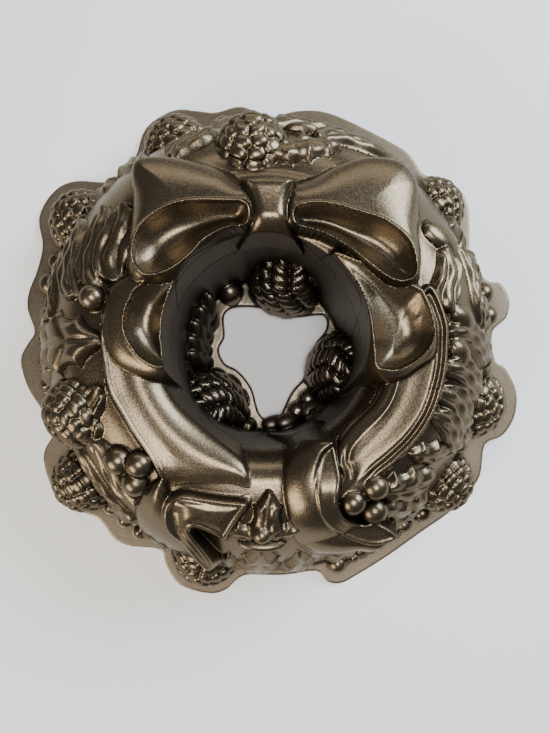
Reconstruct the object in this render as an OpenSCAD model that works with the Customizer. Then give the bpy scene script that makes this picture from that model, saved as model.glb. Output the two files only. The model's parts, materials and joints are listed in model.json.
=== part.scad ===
// Wreath bundt pan: a cast ring pan whose outside carries a ribbon bow, pine cones, berries and holly.
// It stands on its rim with the decorated crown up, and the knot of the bow is towards +Y.
// The pan is one casting. Each node is one named region of it, and the regions meet face to face.

/* [Ring] */
// Radius of the outer wall where it meets the rim
foot_r = 113; // [111:0.5:115]
// Radius of the crest, the highest circle of the ring
crest_r = 57; // [54:1:60]
// Height of the crest above the table
crest_h = 79; // [74:1:84]
// Thickness of the cast wall
wall = 3.2; // [2.6:0.1:3.6]
// Radius of the centre tube where it turns over into the crown
tube_top_r = 43; // [42:1:45]
// Radius of the centre tube at its lower end
tube_foot_r = 39; // [37:1:40]
// Height at which the tube turns over into the crown
shoulder_h = 60; // [56:1:64]

/* [Rim] */
// Thickness of the flat rim
rim_t = 3; // [2.5:0.5:4]
// Radius of the rim between its lobes
rim_r = 120; // [119:0.5:121]
// Height of the tube's web above the table
web_lift = 1.5; // [1:0.5:3]

/* [Relief] */
// Height of the bow's upper loops above the ring
bow_h = 9; // [7:0.5:11]
// Height of the lower loops above the ring
lower_h = 6; // [5:0.5:7]
// Height of the knot above the ring
knot_h = 11.5; // [10:0.5:13]
// Height of the flat ribbons above the ring
ribbon_h = 3.5; // [2.5:0.5:4.5]
// Height of the folded ribbon tails above the ring
tail_h = 5; // [4:0.5:6]
// Height of the holly leaves above the ring
leaf_h = 2.4; // [1.5:0.1:3]
// Radius of a pine cone on the wall
cone_r = 16; // [15:0.5:17]
// Radius of a pine cone on the centre tube
tube_cone_r = 17; // [16:0.5:17.5]
// Radius of a berry
berry_r = 5; // [4.6:0.1:5.1]

/* [Hidden] */

// Steps along each half of the ring's profile
outer_steps = 10;
inner_steps = 5;
// How fast the outer wall falls away from the crest
wall_power = 2.5;
// Radii at which the crown ends, on the outside and towards the tube
crown_outer_r = 70;
crown_inner_r = 46;
// Radius at which the steep lower wall begins
steep_r = 98;
// Pine cones centred below this height stand on the rim
low_cone_z = 40;
// How much smaller the hollow under a bow loop is than the loop
hollow_share = 0.8;
// Taller than any part of the pan
tall = 120;
// Points that a spline draws between two of its own
spline_steps = 4;
bronze = [0.42, 0.37, 0.32];
graphite = [0.30, 0.29, 0.28];
silver = [0.56, 0.53, 0.50];

// Rim lobes: [direction, reach from the axis, radius of the lobe]
rim_lobes = [[111, 133, 27], [96, 127, 17], [81, 126.5, 22], [67, 126.5, 24], [55, 126.5, 22],
    [40, 131, 24], [13, 130, 16], [348, 133, 25], [328, 131, 21], [308, 126, 24],
    [296, 126, 22], [287, 128, 14], [255, 130, 24], [232, 127, 18], [211, 134, 25],
    [185, 131, 26], [166, 129, 17], [147, 138, 31]];

// Pine cones on the wall: [x, y, height of the centre]
cone_places = [[-42.5, 96.5, 17], [-5, 73, 65], [-88.5, 61.5, 17], [-76, -28.5, 62], [-91, -63, 17],
    [-30.5, -100, 17], [78.5, 66.5, 22], [101.5, -25, 17], [87.5, -63.5, 17]];

// Pine cones on the tube: [direction, distance from the axis, height of the centre]
tube_cone_places = [[76, 40, 17], [222, 40, 17], [347, 40, 17]];

// Berries: [x, y, height of the centre], one list for each cluster
top_berries = [[-21.5, 111.5, 7.4], [-10.5, 113, 7.4]];
left_berries = [[-104, 45.5, 7.4], [-108, 34.5, 7.4], [-68, 15, 77]];
lower_left_berries = [[-58.5, -47, 75], [-48.5, -50, 77], [-54, -59, 72]];
lower_right_berries = [[35, -64, 76], [45, -58, 76], [45, -69, 71]];
right_berries = [[108.5, 31, 8], [111.5, 19, 8]];
bottom_berries = [[80.5, -80.5, 7.4], [70.5, -88, 7.4], [36, -107.5, 7.4]];
tube_berry_places = [[-19, 32, 8], [15, -31, 8], [5, -36, 8]];

// Holly leaves: [x, y, direction of the tip, length]
top_leaves = [[12, 80, 60, 26], [34, 78, 20, 26], [58, 78, 120, 22]];
left_leaves = [[-74, 33, 200, 28], [-66, 46, 130, 24], [-86, 10, 175, 30], [-84, -4, 215, 22]];
lower_left_leaves = [[-72, -62, 250, 26], [-60, -76, 300, 24], [-70, -48, 190, 22]];
lower_right_leaves = [[58, -64, 60, 24], [62, -76, 330, 24], [74, -42, 20, 24]];
right_leaves = [[78, 36, 50, 24], [82, 14, 20, 26], [84, 0, 300, 26], [82, -14, 240, 24]];

// Closed outlines seen from above, as the few points that a smooth curve passes through
bow_left = [[-8, 57], [-25, 65], [-45, 68], [-51, 60], [-50, 44], [-52, 27], [-46, 18], [-34, 21],
    [-20, 33], [-8, 39]];
bow_right = [[12, 57], [27, 64], [45, 68], [57, 60], [58, 43], [60, 28], [53, 18], [43, 21],
    [30, 31], [12, 39]];
loop_left = [[-55, 24], [-62, 8], [-61, -4], [-54, -14], [-42, -17], [-36, -12], [-35, 2], [-30, 20],
    [-20, 34], [-38, 34]];
loop_right = [[59, 21], [66, 4], [64, -8], [54, -16], [43, -16], [38, -9], [37, 4], [33, 20],
    [24, 34], [42, 34]];
knot_plan = [[-9, 57], [2, 56], [13, 57], [12, 47], [14, 37], [2, 38], [-9, 37], [-8, 47]];
strip_left = [[-56, 20], [-62, 4], [-62, -10], [-58, -25], [-50, -39], [-42, -52], [-39, -62],
    [-24, -62], [-8, -63], [-8, -50], [-15, -43], [-26, -36], [-35, -27], [-42, -12], [-48, 8]];
strip_right = [[60, 20], [69, 8], [71, -5], [69, -18], [64, -31], [56, -43], [46, -54], [38, -62],
    [30, -64], [28, -54], [28, -45], [33, -37], [41, -28], [47, -16], [54, 4]];
tail_left = [[-41, -63], [-53, -64], [-56, -76], [-49, -89], [-35, -95], [-26, -97], [-27, -88],
    [-28, -82], [-17, -82], [-11, -73], [-8, -64], [-24, -63]];
tail_right = [[24, -40], [13, -43], [8, -56], [9, -70], [14, -82], [24, -91], [36, -92], [50, -84],
    [56, -76], [46, -78], [34, -75], [29, -65], [27, -54]];
web_hole = [[-22, 21], [-14, 24], [0, 22.5], [12, 20], [24, 21.5], [32, 19], [31, 12], [24, 4],
    [21, -8], [12, -19], [7, -31], [1, -34.5], [-4, -29], [-8, -17], [-15, -8], [-23, -3],
    [-25, 5], [-22, 12]];

// Height of the outer surface at a fraction of the way from the crest to the foot, raised by lift
function outer_point(part, lift) = [
    crest_r + (foot_r + lift - crest_r) * part,
    rim_t + (crest_h + lift - rim_t) * (1 - pow(part, wall_power))
];
// Point on the turn from the crest into the tube, at an angle from the vertical
function inner_point(turn, lift) = [
    crest_r - (crest_r - tube_top_r + lift) * sin(turn),
    shoulder_h + (crest_h + lift - shoulder_h) * cos(turn)
];
// Outer surface of the ring from its foot over the crest to the bottom of the tube
function ring_profile(lift) = concat(
    [for (i = [outer_steps:-1:0]) outer_point(i / outer_steps, lift)],
    [for (i = [1:inner_steps]) inner_point(90 * i / inner_steps, lift)]
);
// A point of a smooth curve through the points, between b and c
function spline_point(a, b, c, d, t) = 0.5 * (2 * b + (c - a) * t
    + (2 * a - 5 * b + 4 * c - d) * t * t + (3 * b - a - 3 * c + d) * t * t * t);
function smooth(points) = let (n = len(points)) [
    for (i = [0:n - 1], k = [0:spline_steps - 1])
        spline_point(points[(i + n - 1) % n], points[i], points[(i + 1) % n], points[(i + 2) % n],
            k / spline_steps)
];

// An outline shrunk towards its middle
function shrunk(points, share) = let (
    middle = [for (k = [0:1]) total(points, k) / len(points)]
) [for (p = points) middle + share * (p - middle)];
function total(points, k, i = 0) = i == len(points) ? 0 : points[i][k] + total(points, k, i + 1);

// The space under the ring's outer surface raised by lift, down to the table
module under_ring(lift) {
    rotate_extrude($fn = 90)
        polygon(concat(ring_profile(lift), [[tube_foot_r - lift, rim_t], [tube_foot_r - lift, -1],
            [foot_r + lift, -1]]));
}

module ring_shell() {
    difference() {
        under_ring(0);
        under_ring(-wall);
    }
}

module prism(points, low = -2) {
    translate([0, 0, low])
        linear_extrude(tall)
            polygon(smooth(points));
}

module pipe(outer, inner, low, high) {
    translate([0, 0, low])
        difference() {
            cylinder(h = high - low, r = outer, $fn = 90);
            translate([0, 0, -1]) cylinder(h = high - low + 2, r = inner, $fn = 90);
        }
}

// A ball on a straight shank of the same radius, so that a cake lifts out of it
module shanked_ball(centre, r) {
    translate(centre) sphere(r = r, $fn = 48);
    translate([centre[0], centre[1], -1]) cylinder(h = centre[2] + 1, r = r, $fn = 48);
}

// The cones high on the wall are balls, and those next to the rim reach down to it
module cone_ball(i, shrink = 0) {
    if (cone_places[i][2] > low_cone_z)
        translate(cone_places[i]) sphere(r = cone_r - shrink, $fn = 48);
    else
        shanked_ball(cone_places[i], cone_r - shrink);
}

module cone_balls(shrink = 0) {
    for (i = [0:len(cone_places) - 1])
        cone_ball(i, shrink);
}

function tube_cone_centre(i) = let (p = tube_cone_places[i]) [p[1] * cos(p[0]), p[1] * sin(p[0]), p[2]];

module tube_cone_balls(shrink = 0) {
    for (i = [0:len(tube_cone_places) - 1])
        shanked_ball(tube_cone_centre(i), tube_cone_r - shrink);
}

// Everything between the ring's surface and a surface at height h above it, inside an outline
module raised(points, h, low) {
    difference() {
        intersection() {
            under_ring(h);
            prism(points, low);
        }
        under_ring(0);
    }
}

// The hollows under the two upper loops of the bow, open to the cavity
module bow_hollows() {
    prism(shrunk(bow_left, hollow_share), shoulder_h - 25);
    prism(shrunk(bow_right, hollow_share), shoulder_h - 25);
}

module rim_flange() {
    color(silver)
        difference() {
            linear_extrude(rim_t)
                union() {
                    circle(r = rim_r, $fn = 120);
                    for (lobe = rim_lobes)
                        rotate(lobe[0]) translate([lobe[1] - lobe[2], 0]) circle(r = lobe[2], $fn = 60);
                }
            translate([0, 0, -1]) cylinder(h = rim_t + 2, r = foot_r - wall, $fn = 120);
            cone_balls(wall);
        }
}

module outer_wall_lower() {
    color(bronze)
        difference() {
            intersection() {
                ring_shell();
                pipe(foot_r + 1, steep_r, rim_t, tall);
            }
            cone_balls();
        }
}

module outer_wall_upper() {
    color(bronze)
        difference() {
            intersection() {
                ring_shell();
                pipe(steep_r, crown_outer_r, rim_t, tall);
            }
            cone_balls();
            bow_hollows();
        }
}

module crown() {
    color(bronze)
        difference() {
            intersection() {
                ring_shell();
                pipe(crown_outer_r, crown_inner_r, shoulder_h - 10, tall);
            }
            cone_balls();
            bow_hollows();
        }
}

module centre_tube() {
    color(graphite)
        difference() {
            intersection() {
                ring_shell();
                pipe(crown_inner_r, tube_foot_r - 2, web_lift + rim_t, tall);
            }
            tube_cone_balls();
            bow_hollows();
        }
}

module tube_web() {
    color(silver)
        difference() {
            translate([0, 0, web_lift]) cylinder(h = rim_t, r = tube_foot_r + wall, $fn = 90);
            prism(web_hole);
            tube_cone_balls(wall);
        }
}

module bow_knot() {
    color(silver) raised(knot_plan, knot_h, shoulder_h);
}

module bow_loop(points) {
    color(silver)
        difference() {
            raised(points, bow_h, shoulder_h - 25);
            intersection() {
                under_ring(bow_h - wall);
                prism(shrunk(points, hollow_share));
            }
            prism(knot_plan);
            cone_balls();
        }
}

module bow_loop_left() { bow_loop(bow_left); }
module bow_loop_right() { bow_loop(bow_right); }

module lower_loop(points, upper) {
    color(bronze)
        difference() {
            raised(points, lower_h, shoulder_h - 5);
            prism(upper);
        }
}

module lower_loop_left() { lower_loop(loop_left, bow_left); }
module lower_loop_right() { lower_loop(loop_right, bow_right); }

module berry_balls(places) {
    for (p = places)
        translate(p) sphere(r = berry_r, $fn = 36);
}

module ribbon(points, upper, lower, berries) {
    color(silver)
        difference() {
            raised(points, ribbon_h, shoulder_h - 15);
            prism(upper);
            prism(lower);
            berry_balls(berries);
        }
}

module ribbon_left() { ribbon(strip_left, bow_left, loop_left, lower_left_berries); }
module ribbon_right() { ribbon(strip_right, bow_right, loop_right, lower_right_berries); }

module ribbon_tail(points, strip, berries) {
    color(bronze)
        difference() {
            raised(points, tail_h, rim_t + 4);
            prism(strip);
            berry_balls(berries);
            cone_balls();
        }
}

module ribbon_tail_left() { ribbon_tail(tail_left, strip_left, lower_left_berries); }
module ribbon_tail_right() { ribbon_tail(tail_right, strip_right, lower_right_berries); }

// A hollow pine cone on the wall: a shell that stands outside the cavity
module pinecone(i) {
    color(bronze)
        difference() {
            cone_ball(i);
            cone_ball(i, wall);
            under_ring(-wall);
            translate([0, 0, rim_t - tall]) cylinder(h = tall, r = 2 * foot_r);
        }
}

module tube_pinecone(i) {
    color(graphite)
        difference() {
            shanked_ball(tube_cone_centre(i), tube_cone_r);
            shanked_ball(tube_cone_centre(i), tube_cone_r - wall);
            under_ring(-wall);
            translate([0, 0, web_lift + rim_t - tall]) cylinder(h = tall, r = foot_r);
        }
}

module berries(places) {
    color(silver)
        difference() {
            berry_balls(places);
            under_ring(0);
            translate([0, 0, rim_t - tall]) cylinder(h = tall, r = 2 * foot_r);
            cone_balls();
        }
}

module berries_top() { berries(top_berries); }
module berries_left() {
    difference() {
        berries(left_berries);
        prism(strip_left);
    }
}
module berries_lower_left() { berries(lower_left_berries); }
module berries_lower_right() { berries(lower_right_berries); }
module berries_right() { berries(right_berries); }
module berries_bottom() { berries(bottom_berries); }

module tube_berries() {
    color(graphite)
        difference() {
            berry_balls(tube_berry_places);
            under_ring(0);
            translate([0, 0, web_lift + rim_t - tall]) cylinder(h = tall, r = foot_r);
            tube_cone_balls();
        }
}

// A pointed leaf with three spines on each side, its middle at [x, y] and its tip towards the angle
function leaf_outline(leaf) = let (
    half = leaf[3] / 2,
    edge = [[-1, 0], [-0.55, 0.42], [-0.35, 0.2], [0, 0.5], [0.2, 0.22], [0.55, 0.4], [0.62, 0.14],
        [1, 0], [0.62, -0.14], [0.55, -0.4], [0.2, -0.22], [0, -0.5], [-0.35, -0.2], [-0.55, -0.42]]
) [for (p = edge) [
    leaf[0] + half * (p[0] * cos(leaf[2]) - p[1] * sin(leaf[2])),
    leaf[1] + half * (p[0] * sin(leaf[2]) + p[1] * cos(leaf[2]))
]];

module leaf_prisms(leaves) {
    for (leaf = leaves)
        linear_extrude(tall) polygon(leaf_outline(leaf));
}

module holly(leaves, strip, tail, berries) {
    color(bronze)
        difference() {
            intersection() {
                under_ring(leaf_h);
                leaf_prisms(leaves);
            }
            under_ring(0);
            translate([0, 0, rim_t - tall]) cylinder(h = tall, r = 2 * foot_r);
            prism(strip);
            prism(tail);
            berry_balls(berries);
            cone_balls();
        }
}

module holly_top() { holly(top_leaves, bow_right, bow_left, top_berries); }
module holly_left() { holly(left_leaves, strip_left, bow_left, left_berries); }
module holly_lower_left() { holly(lower_left_leaves, strip_left, tail_left, lower_left_berries); }
module holly_lower_right() { holly(lower_right_leaves, strip_right, tail_right, lower_right_berries); }
module holly_right() { holly(right_leaves, strip_right, bow_right, right_berries); }

// A pointed flower of five petals between the two ribbon tails
module star_flower() {
    petals = [for (turn = [90:72:378]) [2 * cos(turn), -71 + 2 * sin(turn), turn, 17]];
    moved = [for (p = petals) [p[0] + 6 * cos(p[2]), p[1] + 6 * sin(p[2]), p[2], p[3]]];
    color(silver)
        difference() {
            intersection() {
                under_ring(leaf_h);
                leaf_prisms(moved);
            }
            under_ring(0);
            prism(strip_left);
            prism(tail_left);
            prism(tail_right);
        }
}

rim_flange();
outer_wall_lower();
outer_wall_upper();
crown();
centre_tube();
tube_web();
bow_knot();
bow_loop_left();
bow_loop_right();
lower_loop_left();
lower_loop_right();
ribbon_left();
ribbon_right();
ribbon_tail_left();
ribbon_tail_right();
for (i = [0:len(cone_places) - 1])
    pinecone(i);
for (i = [0:len(tube_cone_places) - 1])
    tube_pinecone(i);
berries_top();
berries_left();
berries_lower_left();
berries_lower_right();
berries_right();
berries_bottom();
tube_berries();
holly_top();
holly_left();
holly_lower_left();
holly_lower_right();
holly_right();
star_flower();
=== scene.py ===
"""Wreath bundt pan: the looks of the casting, sculpted as one distance field and cut into its regions."""

import json
import math

import bpy
import numpy as np
import openvdb
from mathutils import Matrix, Vector

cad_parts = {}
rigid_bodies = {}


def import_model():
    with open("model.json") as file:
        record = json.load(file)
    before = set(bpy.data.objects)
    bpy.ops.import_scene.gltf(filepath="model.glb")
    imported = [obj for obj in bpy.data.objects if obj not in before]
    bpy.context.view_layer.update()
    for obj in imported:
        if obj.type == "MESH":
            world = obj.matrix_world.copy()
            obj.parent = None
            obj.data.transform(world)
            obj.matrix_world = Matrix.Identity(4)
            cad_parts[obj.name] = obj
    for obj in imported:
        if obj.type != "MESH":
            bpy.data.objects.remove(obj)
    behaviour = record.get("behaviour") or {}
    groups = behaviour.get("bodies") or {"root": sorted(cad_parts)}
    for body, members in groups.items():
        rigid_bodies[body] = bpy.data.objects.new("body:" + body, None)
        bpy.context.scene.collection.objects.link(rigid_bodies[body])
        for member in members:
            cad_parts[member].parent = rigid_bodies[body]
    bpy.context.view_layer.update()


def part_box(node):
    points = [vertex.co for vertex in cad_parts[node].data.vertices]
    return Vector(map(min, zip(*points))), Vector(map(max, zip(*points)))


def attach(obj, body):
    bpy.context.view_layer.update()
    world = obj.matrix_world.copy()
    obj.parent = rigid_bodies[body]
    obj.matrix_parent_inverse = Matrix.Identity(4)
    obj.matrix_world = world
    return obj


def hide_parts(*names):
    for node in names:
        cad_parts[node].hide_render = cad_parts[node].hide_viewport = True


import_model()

# ---------------------------------------------------------------- design dimensions, in millimetres
MM = 0.001
VOXEL = 0.6


def top_mm(node, axis=2):
    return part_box(node)[1][axis] / MM


def low_mm(node, axis=2):
    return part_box(node)[0][axis] / MM


RIM_T = top_mm("rim_flange")
CREST_H = top_mm("crown")
CREST_R = 57.0
FOOT_R = top_mm("outer_wall_lower", 0)
TUBE_TOP_R = 43.0
TUBE_FOOT_R = 39.0
SHOULDER_H = 60.0
WALL_POWER = 2.5
WALL_T = 3.0
WEB_LOW = low_mm("tube_web")
WEB_T = 3.0
DRAFT = math.radians(12)
BLEND = 1.0
FLAT = 0.02

LOW = np.array([-141.0, -133.0, -3.0])
HIGH = np.array([140.0, 134.0, 96.0])
AXES = [np.arange(LOW[k], HIGH[k], VOXEL, dtype=np.float32) for k in range(3)]
GX, GY, GZ = AXES
X2, Y2 = np.meshgrid(GX, GY, indexing="ij")
R2 = np.hypot(X2, Y2)
PHI2 = np.degrees(np.arctan2(Y2, X2)) % 360
SHAPE = (len(GX), len(GY), len(GZ))


# ---------------------------------------------------------------- helpers
def step(a, b, x):
    """Smooth step from 0 at a to 1 at b."""
    t = np.clip((x - a) / (b - a), 0, 1)
    return t * t * (3 - 2 * t)


def smin(a, b, k=BLEND):
    m = np.maximum(k - np.abs(a - b), 0) / k
    return np.minimum(a, b) - m * m * k * 0.25


def smax(a, b, k=BLEND):
    return -smin(-a, -b, k)


def spline(points, closed=True, steps=6):
    """A smooth curve through the points."""
    p = np.array(points, float)
    n = len(p)
    out = []
    for i in range(n if closed else n - 1):
        if closed:
            a, b, c, d = p[i - 1], p[i], p[(i + 1) % n], p[(i + 2) % n]
        else:
            a, b, c, d = p[max(i - 1, 0)], p[i], p[i + 1], p[min(i + 2, n - 1)]
        for k in range(steps):
            t = k / steps
            out.append(0.5 * (2 * b + (c - a) * t + (2 * a - 5 * b + 4 * c - d) * t * t
                              + (3 * b - a - 3 * c + d) * t ** 3))
    if not closed:
        out.append(p[-1])
    return np.array(out)


def soften(a, times):
    """A plan map with its creases rounded off."""
    for _ in range(times):
        a = np.pad(a, 1, mode="edge")
        a = (a[:-2] + 2 * a[1:-1] + a[2:]) / 4
        a = (a[:, :-2] + 2 * a[:, 1:-1] + a[:, 2:]) / 4
    return a


def line_distance(x, y, curve, closed=False):
    """Unsigned distance to a polyline, and the sign for a closed one (negative inside)."""
    best = np.full(x.shape, 1e9, np.float32)
    inside = np.zeros(x.shape, bool)
    n = len(curve)
    for i in range(n if closed else n - 1):
        ax, ay = curve[i]
        bx, by = curve[(i + 1) % n]
        ex, ey = bx - ax, by - ay
        wx, wy = x - ax, y - ay
        t = np.clip((wx * ex + wy * ey) / (ex * ex + ey * ey + 1e-12), 0, 1)
        np.minimum(best, (wx - ex * t) ** 2 + (wy - ey * t) ** 2, out=best)
        if closed and ey != 0:
            cross = ((ay > y) != (by > y)) & (x < ex * (y - ay) / ey + ax)
            inside ^= cross
    d = np.sqrt(best)
    return np.where(inside, -d, d) if closed else d


def span(axis, low, high):
    g = AXES[axis]
    return slice(int(np.searchsorted(g, low)), int(np.searchsorted(g, high)))


# ---------------------------------------------------------------- the ring's profile
def profile():
    """Outer surface of the ring from far below the foot, over the crest, to far below the tube."""
    part = np.linspace(1, 0, 160) ** 0.8
    wall = np.stack([CREST_R + (FOOT_R - CREST_R) * part,
                     RIM_T + (CREST_H - RIM_T) * (1 - part ** WALL_POWER)], 1)
    turn = np.linspace(0, math.pi / 2, 60)[1:]
    over = np.stack([CREST_R - (CREST_R - TUBE_TOP_R) * np.sin(turn),
                     SHOULDER_H + (CREST_H - SHOULDER_H) * np.cos(turn)], 1)
    down = np.stack([np.linspace(TUBE_TOP_R, TUBE_FOOT_R, 60)[1:],
                     np.linspace(SHOULDER_H, RIM_T, 60)[1:]], 1)
    foot = np.stack([np.full(20, FOOT_R + 0.5), np.linspace(-25, RIM_T - 1, 20)], 1)
    heel = np.stack([np.full(20, TUBE_FOOT_R - 0.2), np.linspace(RIM_T - 1, -25, 20)], 1)
    return np.concatenate([foot, wall, over, down, heel])


PROFILE = profile()
ARC = np.concatenate([[0], np.cumsum(np.hypot(*np.diff(PROFILE, axis=0).T))])
CREST_I = int(np.argmax(PROFILE[:, 1]))
ARC = ARC - ARC[CREST_I]          # negative down the outer wall, positive down the tube
R_STEP = 0.5
TABLE_R = np.arange(0, 200, R_STEP)


def profile_tables():
    """Signed distance and arc length for every radius and height of the grid."""
    rr, zz = np.meshgrid(TABLE_R, GZ, indexing="ij")
    best = np.full(rr.shape, 1e9)
    arc = np.zeros(rr.shape)
    sign = np.ones(rr.shape)
    for i in range(len(PROFILE) - 1):
        a, e = PROFILE[i], PROFILE[i + 1] - PROFILE[i]
        wx, wz = rr - a[0], zz - a[1]
        t = np.clip((wx * e[0] + wz * e[1]) / (e @ e), 0, 1)
        d = (wx - e[0] * t) ** 2 + (wz - e[1] * t) ** 2
        near = d < best
        best[near] = d[near]
        arc[near] = (ARC[i] + t * math.hypot(*e))[near]
        sign[near] = np.sign(e[0] * wz - e[1] * wx)[near]
    return (-sign * np.sqrt(best)).astype(np.float32), arc.astype(np.float32)


DIST_T, ARC_T = profile_tables()


def by_radius(table, rr=None):
    """A (radius, height) table looked up for every column of the grid."""
    rr = R2 if rr is None else rr
    f = rr / R_STEP
    i = np.clip(f.astype(np.int32), 0, len(TABLE_R) - 2)
    f = (f - i)[..., None].astype(np.float32)
    return table[i] * (1 - f) + table[i + 1] * f


def wall_height(r):
    """Height of the plain ring at a radius, with the crown nearly flat towards the tube."""
    part = np.clip((r - CREST_R) / (FOOT_R - CREST_R), 0, 1)
    z = RIM_T + (CREST_H - RIM_T) * (1 - part ** WALL_POWER)
    return z - FLAT * np.clip(CREST_R - r, 0, None) ** 2


# ---------------------------------------------------------------- relief painted along the wall
ARC_STEP, TURN_STEP = 0.4, 0.25
MAP_S = np.arange(-110, 90, ARC_STEP)
MAP_P = np.arange(0, 360, TURN_STEP)
MS, MP = np.meshgrid(MAP_S, MAP_P, indexing="ij")
MAP_R = np.interp(MAP_S, ARC, PROFILE[:, 0])
relief = np.zeros(MS.shape, np.float32)
relief_d = np.full(MS.shape, 99.0, np.float32)
relief_id = np.zeros(MS.shape, np.int16)


def at(turn, r):
    """A place on the outer wall: direction in degrees and radius."""
    return turn, float(np.interp(-r, -PROFILE[20:CREST_I + 1, 0], ARC[20:CREST_I + 1]))


def low(turn, z):
    """A place on the outer wall: direction in degrees and height."""
    return turn, float(np.interp(z, PROFILE[:CREST_I + 1, 1], ARC[:CREST_I + 1]))


def bore(turn, z):
    """A place on the tube's side: direction in degrees and height."""
    return turn, float(np.interp(-z, -PROFILE[CREST_I:, 1], ARC[CREST_I:]))


def leaf_local(base, tip):
    """Coordinates along and across a leaf, in millimetres, on the unrolled wall."""
    rm = float(np.interp((base[1] + tip[1]) / 2, MAP_S, MAP_R))
    turn = (MP - base[0] + 180) % 360 - 180
    px, py = np.radians(turn) * rm, MS - base[1]
    dx, dy = math.radians((tip[0] - base[0] + 180) % 360 - 180) * rm, tip[1] - base[1]
    length = math.hypot(dx, dy)
    ux, uy = dx / length, dy / length
    return px * ux + py * uy, -px * uy + py * ux, length


def paint(height, d, label):
    on = (d < 0) & (height > relief)
    relief[on] = height[on]
    relief_id[on] = label
    relief_d[:] = np.where(np.abs(d) < np.abs(relief_d), d, relief_d)


def holly_leaf(label, base, tip, width, high=1.5, spines=3, lift=0.0):
    """A holly leaf: spiny edge, midrib, and swollen pads between slanting veins."""
    a, c, length = leaf_local(base, tip)
    t = a / length
    env = np.clip(np.sin(np.clip(t, 0, 1) ** 0.85 * math.pi), 0, 1) ** 0.55
    bite = 2 * ((t * (spines + 0.5) + 0.25) % 1.0) - 1
    half = width / 2 * env * (1 - 0.36 * np.sqrt(1 - bite ** 2))
    d = np.abs(c) - half
    d = np.where((t < 0) | (t > 1), np.maximum(d, np.maximum(-a, a - length)), d) * 0.75
    run = ((a - np.abs(c) * 0.85) / length * (spines + 0.5)) % 1.0
    pad = np.sqrt(np.clip(np.sin(run * math.pi), 0, 1))
    side = np.abs(c)
    h = high + lift + 1.7 * pad * step(0.6, 2.4, side) * step(-1.0, -3.0, d)
    h = h + 1.1 * np.exp(-(c / 1.1) ** 2) * step(0, 0.08, t) * step(1, 0.85, t)
    h = h * step(0.1, -1.2, d)
    paint(h.astype(np.float32), d.astype(np.float32), label)


def fan_leaf(label, base, tip, width, high=2.3, strands=3, lift=0.0, wave=1.8, cycles=1.0):
    """A leaf of rounded strands that run side by side in a slow wave."""
    a, c, length = leaf_local(base, tip)
    t = a / length
    c = c - wave * np.sin(t * cycles * 2 * math.pi)
    half = width / 2 * np.clip(np.sin(np.clip(t, 0, 1) * math.pi), 0, 1) ** 0.4
    d = np.abs(c) - half
    d = np.where((t < 0) | (t > 1), np.maximum(d, np.maximum(-a, a - length)), d) * 0.8
    across = (c / width + 0.5) * strands
    ridge = np.sqrt(np.clip(1 - (2 * (across % 1.0) - 1) ** 2, 0, 1))
    stagger = 0.35 * np.floor(across)
    h = 0.7 + lift + high * ridge * (0.85 + 0.15 * np.sin((a / 11.0 + stagger) * 2 * math.pi))
    h = h * step(0.1, -1.6, d)
    paint(h.astype(np.float32), d.astype(np.float32), label)


def pebble(label, base, tip, width, high=3.0):
    """A smooth oval swelling."""
    a, c, length = leaf_local(base, tip)
    rho = ((a - length / 2) / (length / 2)) ** 2 + (c / (width / 2)) ** 2
    d = (np.sqrt(rho) - 1) * width / 2
    h = high * np.sqrt(np.clip(1 - rho, 0, 1)) + 0.5
    paint(h.astype(np.float32), d.astype(np.float32), label)


# ---------------------------------------------------------------- the field and its regions
NAMES = ["none", "ring_wall", "tube_wall", "rim_plate", "web_plate"]
total = by_radius(DIST_T)


def label_of(name):
    if name not in NAMES:
        NAMES.append(name)
    return NAMES.index(name)


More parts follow.
